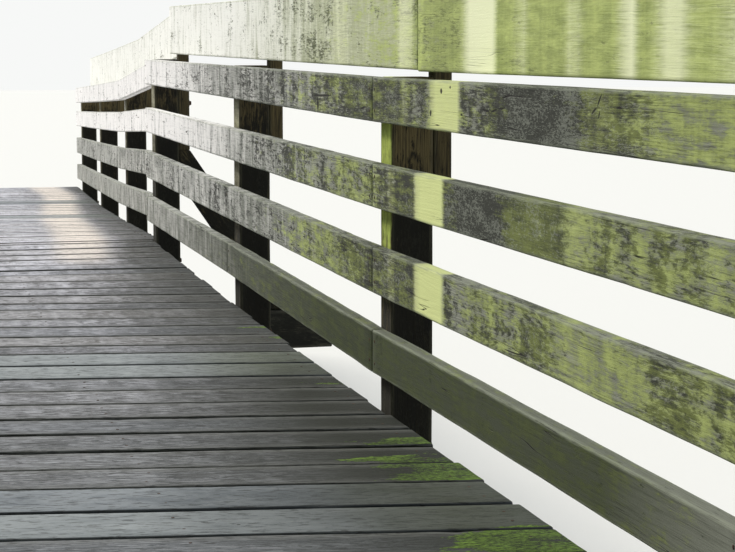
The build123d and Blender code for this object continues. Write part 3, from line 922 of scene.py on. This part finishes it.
def timber_finish(name, wood, soot, crust, film, worn, sunlit_colour, silver_and_sunlit, damp_shade, damp_and_shade_share=0.55,
                  ring_gap=0.006, ring_depth=0.2, knots=0.3, streaky=0.0, film_share=0.7, along=None,
                  cracks=(), mat=None, newer=None, dashes=0.0, casts=None, checked=1.0):
    """A material from pairs of colours: wood, film and silver each go from a dark to a light colour; the
    light silver is partly painted sunlight.
    """
    material, net, shader = new_material(name)
    board = board_inputs(net, along)
    figure = net.group(sawn_figure, grain=board["grain"], tone=board["tone"], ring_gap=ring_gap, knots=knots)
    flow = figure["Flow"]
    streak = net.noise(net.stretch(board["grain"], 9.0, 80.0, 80.0), 5.0, 0.75)
    streak = net.math("SUBTRACT", streak, 0.5)
    paint = bare_wood(net, board, figure, streak, wood, silver_and_sunlit, ring_depth, streaky)

    # Mildew, algae and lichen, and a cast that differs from board to board
    mottle = net.group(black_mottle, grain=board["grain"], flow=flow, amount=board["mildew"])["Mask"]
    if streaky:
        mottle = net.times(mottle, net.rise(streak, -0.10, 0.08))
    paint = net.mix(net.times(mottle, 0.92), paint, soot)
    growth = net.group(algae_film, grain=board["grain"], fibre=figure["Fibre"], amount=board["algae"])
    held = net.rest(net.times(mottle, 0.5))
    paint = net.mix(net.times(growth["Mask"], held, film_share), paint, net.mix(growth["Shade"], *film))
    crusty = net.group(pale_crust, flow=flow, amount=board["mildew"])["Mask"]
    paint = net.mix(net.times(crusty, net.capped(board["mildew"], 0.8), 0.5), paint, crust)
    if casts:
        warm = net.times(net.rise(board["tone"], 0.5, 1.0), 0.22)
        cool = net.times(net.rise(board["tone"], 0.5, 0.0), 0.30)
        paint = net.mix(cool, net.mix(warm, paint, casts[0]), casts[1])

    # Painted sunlight in strips, damp wood and painted shade, and worn edges
    sunlit_mask = net.rise(net.sum((figure["Fibre"], 0.8), (board["sunlight_patch"], 0.6)), 0.40, 0.90)
    paint = net.mix(net.times(sunlit_mask, board["sunlight_patch"]), paint, sunlit_colour)
    paint = net.mix(net.capped(net.times(board["damp_and_shade"], damp_and_shade_share), 1.0), paint, damp_shade)
    edge = net.times(board["arris"], net.rise(figure["Fibre"], 0.35, 0.6), 0.6)
    paint = net.mix(edge, paint, worn)
    checks = net.times(figure["Checks"], checked)
    relief = net.sum((figure["Fibre"], 0.6), (figure["Rings"], -ring_depth), (crusty, 0.25), (mottle, -0.2))

    # What only some timbers have
    if newer:
        paint, is_newer = replaced_planks(net, board, figure, streak, paint, newer, soot, crust, damp_shade)
        checks = net.times(checks, net.rest(is_newer))
    if dashes:
        short = net.rise(net.noise(net.stretch(board["grain"], 26.0, 95.0, 95.0), 3.0), 0.54, 0.64)
        paint = net.mix(net.times(short, dashes), paint, soot)
        relief = net.sum((relief, 1.0), (short, -0.8))
    paint = net.mix(net.times(figure["Knot"], 0.7), paint, soot)
    if mat:
        growth = net.group(green_mat, place=net.object_place(), amount=board["mat"])
        paint = net.mix(growth["Mask"], paint, net.mix(growth["Tuft"], *mat))
        tufts = net.times(growth["Mask"], growth["Tuft"])
        relief = net.sum((relief, 1.0), (growth["Mask"], 2.0), (tufts, 6.0))
    for start, stop, width in cracks:
        single = net.group(crack, place=net.object_place(), start=start, stop=stop, width=width)["Mask"]
        checks = net.math("MAXIMUM", checks, single)
    paint = net.mix(net.times(checks, 0.95), paint, CRACK_COLOUR)
    relief = net.sum((relief, 1.0), (checks, -2.0))

    net.give(shader.inputs["Base Color"], paint)
    net.give(shader.inputs["Roughness"], net.sum((figure["Fibre"], 0.25), (1.0, 0.72)))
    shader.inputs["Specular IOR Level"].default_value = 0.25
    bump = net.add("ShaderNodeBump", {"Height": relief, "Strength": 0.6, "Distance": 0.002})
    net.give(shader.inputs["Normal"], bump.outputs["Normal"])
    return material


def paint(pieces, material):
    """Gives every piece its material."""
    for piece in pieces:
        piece.data.materials.clear()
        piece.data.materials.append(material)
    print(material.name, "on", len(pieces), "pieces")


# %% [markdown]
# ## Finishes
# The colours were matched one family at a time. A few single cracks in the top rail and the planks, and the
# rail's old nail holes, are placed one by one, because they can be told apart in the photograph.

# %% Finishes of railing, deck and bearers
RAIL_FACE = 1.157
RAIL_CRACKS = [
    ((2.030, 2.421), (1.749, 2.428), 0.007), ((1.948, 2.423), (1.948, 2.368), 0.022),
    ((0.213, 2.430), (0.144, 2.424), 0.005), ((0.144, 2.424), (0.092, 2.433), 0.005),
    ((0.092, 2.433), (0.032, 2.438), 0.004), ((-0.571, 2.486), (-0.545, 2.456), 0.006),
    ((-0.545, 2.456), (-0.512, 2.441), 0.005), ((-0.562, 2.451), (-0.551, 2.432), 0.005),
    ((-0.648, 2.458), (-0.684, 2.458), 0.004), ((1.391, 2.396), (1.318, 2.405), 0.006),
    ((0.550, 2.474), (0.550, 2.459), 0.016), ((0.471, 2.481), (0.471, 2.474), 0.011),
    ((0.644, 2.416), (0.644, 2.398), 0.013), ((0.376, 2.414), (0.376, 2.408), 0.013),
]
DECK_TOP = 1.498
DECK_CRACKS = [
    ((0.762, -0.028), (0.800, -0.038), 0.005), ((0.426, 0.027), (0.445, 0.022), 0.006),
    ((0.501, -0.017), (0.512, -0.020), 0.006), ((0.462, -0.105), (0.496, -0.114), 0.005),
]
rail_finish = timber_finish(
    "rail_timber", wood=(colour(76, 78, 68), colour(156, 159, 148)), soot=colour(27, 30, 24),
    crust=colour(162, 167, 155), film=(colour(74, 86, 30), colour(182, 196, 100)),
    worn=colour(132, 138, 122), sunlit_colour=colour(222, 230, 160),
    silver_and_sunlit=(colour(100, 103, 103), colour(252, 250, 249)),
    damp_shade=colour(40, 49, 24), damp_and_shade_share=0.76, ring_depth=0.12, knots=0.08,
    cracks=[((RAIL_FACE, *start), (RAIL_FACE, *stop), width) for start, stop, width in RAIL_CRACKS],
)
paint(made["rails"], rail_finish)

top_finish = timber_finish(
    "top_board_timber", wood=(colour(146, 150, 112), colour(202, 208, 168)), soot=colour(74, 80, 54),
    crust=colour(214, 218, 192), film=(colour(130, 144, 70), colour(190, 204, 116)),
    worn=colour(118, 126, 78), sunlit_colour=colour(246, 250, 210),
    silver_and_sunlit=(colour(158, 162, 142), colour(252, 252, 246)),
    damp_shade=colour(70, 78, 48), ring_depth=0.05, knots=0.0, film_share=0.8, checked=0.25,
)
paint(made["top_boards"], top_finish)

DARK_POST = dict(
    wood=(colour(38, 34, 24), colour(106, 94, 62)), soot=colour(10, 11, 8), crust=colour(66, 66, 54),
    film=(colour(148, 166, 62), colour(224, 244, 118)), worn=colour(80, 78, 62),
    sunlit_colour=colour(150, 146, 126),
    silver_and_sunlit=(colour(110, 108, 88), colour(184, 182, 158)), damp_shade=colour(8, 10, 6), damp_and_shade_share=0.5,
)
post_finish = timber_finish("post_timber", **DARK_POST)
paint(made["posts"] + made["cleats"], post_finish)

plank_finish = timber_finish(
    "plank_timber", wood=(colour(54, 54, 53), colour(150, 152, 157)), soot=colour(28, 29, 28),
    crust=colour(164, 168, 170), film=(colour(58, 68, 44), colour(104, 118, 76)),
    worn=colour(112, 113, 110), sunlit_colour=colour(240, 230, 222),
    silver_and_sunlit=(colour(146, 147, 154), colour(213, 213, 223)),
    damp_shade=colour(22, 27, 18), damp_and_shade_share=0.80, ring_gap=0.009, ring_depth=0.15, knots=0.1, streaky=1.8,
    mat=(colour(18, 28, 6), colour(104, 134, 46)), dashes=0.55,
    newer=(colour(98, 108, 128), colour(152, 160, 168), colour(128, 142, 100)),
    casts=(colour(118, 112, 98), colour(112, 119, 128)),
    cracks=[((*start, DECK_TOP), (*stop, DECK_TOP), width) for start, stop, width in DECK_CRACKS],
)
paint(planks, plank_finish)

DARK_BEARER = dict(
    wood=(colour(48, 46, 36), colour(90, 87, 72)), soot=colour(18, 18, 15), crust=colour(82, 82, 70),
    film=(colour(52, 58, 32), colour(82, 90, 50)), worn=colour(90, 88, 76), sunlit_colour=colour(130, 128, 114),
    silver_and_sunlit=(colour(80, 78, 68), colour(130, 126, 114)), damp_shade=colour(20, 22, 17), ring_gap=0.008,
)
bearer_finish = timber_finish("bearer_timber", **DARK_BEARER)
paint(made["crosshead"] + made["end_sill"] + made["trestle_piles"] + made["end_piles"], bearer_finish)

# %% [markdown]
# ## Beams and struts
# The beams bend over the crossheads and are notched, and the struts are cut to fit, so their solids
# already have the right shape and stay. Weld closes their loose triangles, and a small Bevel takes the
# sharp edge off. They have no grain map, so the same finish reads object coordinates, turned so that
# the grain runs along the timber.

# %% Dress the beams and struts
STRUT_SLOPE = 56.0
LENGTHWISE_TURN = (0.0, 0.0, radians(-90))
STRUT_TURNS = {"right": (0.0, radians(-STRUT_SLOPE), 0.0), "left": (0.0, radians(STRUT_SLOPE - 180), 0.0)}


def dress(node, material):
    """A solid that stays: welded, with its edges taken off, in a material of its own."""
    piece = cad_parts[node]
    weld = piece.modifiers.new("closed", "WELD")
    weld.merge_threshold = 0.0002
    taken_off = piece.modifiers.new("worn_edges", "BEVEL")
    taken_off.width = 0.006
    taken_off.segments = 2
    taken_off.limit_method = "ANGLE"
    taken_off.angle_limit = radians(40)
    piece.data.materials.clear()
    piece.data.materials.append(material)


beam_finish = timber_finish("beam_timber", **DARK_BEARER, along=LENGTHWISE_TURN)
beams = [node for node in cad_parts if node.startswith(("main_beam", "approach_beams"))]
for node in beams:
    dress(node, beam_finish)
for side, turn in STRUT_TURNS.items():
    strut_finish = timber_finish(f"strut_timber_{side}", **DARK_POST, along=turn)
    for end in ENDS:
        dress(f"strut_{end}_{side}", strut_finish)
print("beams", len(beams), "struts", 2 * len(STRUT_TURNS))

# %% [markdown]
# ## Nails and bolts
# Planks and boards are nailed, two nails a plank on every beam and two on every post, and the cleats and
# posts are bolted through. A head is a short profile turned about its own axis, in few faces because
# there are hundreds. The planks' nails follow the planks' corners and the beams' lines, the others the
# boards' and posts' corners, so they stay on what they hold when a size changes. Heads are a little sunk
# in the wood. They have rusted to a dark brown.


# %% Heads of nails and bolts
def turned_heads(places, outwards, profile, sides):
    """Points and faces of many equal heads at once.

    A profile point (radius, height) at angle a lies at place + height * outward + radius * (cos a *
    first + sin a * second), where first and second are square to the outward direction.
    """
    places = np.asarray(places, float)
    outwards = np.broadcast_to(np.asarray(outwards, float), places.shape)
    helper = np.where(abs(outwards[:, 2:]) > 0.7, ALONG_BRIDGE, UP)
    first = np.cross(helper, outwards)
    first = first / np.linalg.norm(first, axis=1, keepdims=True)
    second = np.cross(outwards, first)
    angles = np.arange(sides) * 2 * pi / sides
    circle = np.cos(angles)[:, None] * first[:, None] + np.sin(angles)[:, None] * second[:, None]
    radius, height = np.array(profile).T[:, None, :, None, None]
    points = places[:, None, None] + height * outwards[:, None, None] + radius * circle[:, None]
    heads, rings = points.shape[:2]
    corner = np.arange(heads * rings * sides).reshape(heads, rings, sides)
    turned = np.roll(corner, -1, axis=2)
    walls = np.stack([corner[:, :-1], turned[:, :-1], turned[:, 1:], corner[:, 1:]], axis=-1).reshape(-1, 4)
    return points.reshape(-1, 3), walls.tolist() + corner[:, 0, ::-1].tolist() + corner[:, -1].tolist()


def join_heads(name, material, *batches):
    """One object from batches of points and faces."""
    starts = np.cumsum([0] + [len(points) for points, faces in batches]).tolist()
    faces = []
    for start, batch in zip(starts, batches):
        faces += [[corner + start for corner in face] for face in batch[1]]
    mesh = bpy.data.meshes.new(name)
    mesh.from_pydata(np.concatenate([batch[0] for batch in batches]).tolist(), [], faces)
    mesh.update()
    mesh.materials.append(material)
    piece = new_object(name, mesh)
    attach(piece, "root")
    print(name, len(faces), "faces")


def rusty_steel(name, dark, light, grain_size):
    """Rust as two browns in blotches of about the grain size."""
    material, net, shader = new_material(name)
    rust = net.noise(net.stretch(net.object_place(), *[1 / grain_size] * 3), 4.0, 0.7)
    net.give(shader.inputs["Base Color"], net.mix(net.rise(rust, 0.35, 0.65), dark, light))
    shader.inputs["Roughness"].default_value = 0.8
    shader.inputs["Specular IOR Level"].default_value = 0.3
    return material


def between(first, second, share):
    """Points at a share of the way from first to second."""
    return first + np.asarray(share)[..., None] * (second - first)


NAIL = [(0.0042, -0.0045), (0.0042, -0.0008), (0.0028, -0.0004)]
BOARD_NAIL = [(0.0046, -0.005), (0.0046, -0.0002), (0.003, 0.0004)]
WASHER = [(0.022, -0.003), (0.022, 0.0015), (0.0205, 0.003)]
BOLT_HEAD = [(0.0125, 0.0), (0.0125, 0.009), (0.0105, 0.0105)]
NAIL_SIDES = 8
WASHER_SIDES = 16
EDGE_TO_BEAM = 0.065
INNER_BEAM = 0.375
NAIL_SHARES = np.array([0.27, 0.73])
BOARD_NAIL_SHARES = (0.26, 0.74)
SIDEWAYS_SCATTER = 0.006
SHARE_SCATTER = 0.02
END_TO_NAIL = 0.028
POST_REACH = 0.02
CLEAT_BOLTS = (0.25, 0.45)
POST_BOLTS = (0.10, 0.28)
WASHER_THICK = WASHER[-1][1]


def plank_nails(rng, corners):
    """Two heads in every plank over every beam, between the plank's edges, a little scattered."""
    top = corners[:, :, :, 1]
    edge = np.interp(abs(top[..., 1]).mean(axis=(1, 2)), *DECK_PLAN) - EDGE_TO_BEAM
    inner = np.full(len(edge), INNER_BEAM)
    lines = np.stack([-edge, -inner, inner, edge], axis=1)
    spots = lines[:, :, None] + rng.normal(0, SIDEWAYS_SCATTER, (*lines.shape, 2))
    share = (spots - top[:, :1, :1, 0]) / (top[:, 1:, :1, 0] - top[:, :1, :1, 0])
    edges = [between(top[:, None, None, 0, side], top[:, None, None, 1, side], share) for side in (0, 1)]
    return between(*edges, NAIL_SHARES + rng.normal(0, SHARE_SCATTER, share.shape)).reshape(-1, 3)


def board_nails(rng, board, inner, middles):
    """Two heads on every post that a rail board crosses or ends on, and the way that they face.

    Middles are the posts' places along the bridge. At its ends a board is nailed clear of its edge.
    """
    near, far = board[:, :, inner].mean(axis=1)[:, 1]
    held = middles[(middles > near - POST_REACH) & (middles < far + POST_REACH)]
    held = held.clip(near + END_TO_NAIL, far - END_TO_NAIL)
    share = (np.repeat(held, 2) - near) / (far - near)
    across = np.tile(BOARD_NAIL_SHARES, len(held)) + rng.normal(0, SHARE_SCATTER, len(share))
    edges = [between(board[0, low, inner], board[1, low, inner], share) for low in (0, 1)]
    outward = board[0, 0, inner] - board[0, 0, 1 - inner]
    outward = outward / np.linalg.norm(outward)
    return between(*edges, across), np.tile(outward, (len(share), 1))


def bolts(timber, inner, from_foot):
    """Bolts on the face away from the deck, at heights from the timber's foot, and the way they face."""
    foot = timber[0, 1 - inner].mean(axis=0)
    outward = foot - timber[0, inner].mean(axis=0)
    outward = outward / np.linalg.norm(outward)
    return foot + np.outer(from_foot, UP), np.tile(outward, (len(from_foot), 1))


def timbers_of(family, side, directions):
    """Corners of all timbers of a family on one side of the bridge."""
    return [sorted_corners(c, *directions) for part in PARTS for c in solids_of(f"{family}_{part}_{side}")]


# %% Drive them in
rust_brown = rusty_steel("rusty_steel", colour(34, 26, 20), colour(78, 54, 38), 0.004)
rng = np.random.default_rng(11)
for node, places in plank_places.items():
    heads = turned_heads(plank_nails(rng, np.array(places)), UP, NAIL, NAIL_SIDES)
    join_heads(node.replace("deck", "plank_nails"), rust_brown, heads)

for side, inner in DECK_FACE.items():
    posts = timbers_of("posts", side, UPRIGHT)
    middles = np.array([post.mean(axis=(0, 1, 2))[1] for post in posts])
    nails = [board_nails(rng, board, inner, middles) for board in timbers_of("rails", side, LENGTHWISE)]
    places, outwards = (np.concatenate(column) for column in zip(*nails))
    join_heads(f"rail_nails_{side}", rust_brown, turned_heads(places, outwards, BOARD_NAIL, NAIL_SIDES))

for side, inner in DECK_FACE.items():
    held = [bolts(post, inner, POST_BOLTS) for post in timbers_of("posts", side, UPRIGHT)]
    held += [bolts(cleat, inner, CLEAT_BOLTS) for cleat in timbers_of("cleats", side, UPRIGHT)]
    places, outwards = (np.concatenate(column) for column in zip(*held))
    washers = turned_heads(places, outwards, WASHER, WASHER_SIDES)
    bolt_heads = turned_heads(places + WASHER_THICK * outwards, outwards, BOLT_HEAD, 6)
    join_heads(f"bolts_{side}", rust_brown, washers, bolt_heads)

# %% [markdown]
# ## Camera
# The photograph looks along the deck from eye height, a little down and to the right, with a long
# lens. Its place was worked out from the posts' corners, so the posts land where they do there.

# %% Camera
camera_data = bpy.data.cameras.new("camera")
camera_data.sensor_width = 36.0
camera_data.lens = 93.6
camera_data.clip_end = 400.0
camera = new_object("camera", camera_data)
camera.location = (-0.291, -4.216, 2.573)
camera.rotation_euler = (radians(90 - 6.751), 0.0, radians(-14.709))
bpy.context.scene.camera = camera

# %% [markdown]
# ## Light and surroundings
# Soft sky light from everywhere and one broad lamp from the far left, as in the photograph, where the
# near faces of the posts are in shade. The camera sees a white backdrop, which the Light Path node
# keeps apart from the light that falls on the bridge.


# %% World, lamp and floor
world = bpy.data.worlds.new("studio")
bpy.context.scene.world = world
world.use_nodes = True
world.node_tree.nodes.clear()
net = Wiring(world.node_tree)
sky = net.add("ShaderNodeBackground", {"Color": (0.86, 0.93, 1.0, 1.0), "Strength": 0.55}).outputs[0]
backdrop = net.add("ShaderNodeBackground", {"Color": (0.93, 0.94, 0.93, 1.0), "Strength": 1.0}).outputs[0]
rays = net.add("ShaderNodeLightPath", {}).outputs
seen = net.math("MAXIMUM", rays["Is Camera Ray"], rays["Is Glossy Ray"])
seen = net.math("MAXIMUM", seen, rays["Is Transmission Ray"])
either = net.add("ShaderNodeMixShader", {0: seen, 1: sky, 2: backdrop}).outputs[0]
net.add("ShaderNodeOutputWorld", {"Surface": either})

lamp_data = bpy.data.lights.new("broad_lamp", "SUN")
lamp_data.energy = 3.4
lamp_data.angle = radians(18)
lamp_data.color = (1.0, 0.95, 0.86)
lamp = new_object("broad_lamp", lamp_data)
lamp.rotation_euler = (radians(50), 0.0, radians(215))

FLOOR_REACH = 120.0
floor_corners = [(x * FLOOR_REACH, y * FLOOR_REACH, 0.0) for x, y in ((-1, -1), (1, -1), (1, 1), (-1, 1))]
floor_mesh = bpy.data.meshes.new("floor")
floor_mesh.from_pydata(floor_corners, [], [(0, 1, 2, 3)])
floor = new_object("floor", floor_mesh)
floor_paint, _, shader = new_material("pale_floor")
shader.inputs["Base Color"].default_value = (0.78, 0.78, 0.76, 1.0)
shader.inputs["Roughness"].default_value = 0.9
floor_mesh.materials.append(floor_paint)

bpy.context.scene.view_settings.view_transform = "Standard"
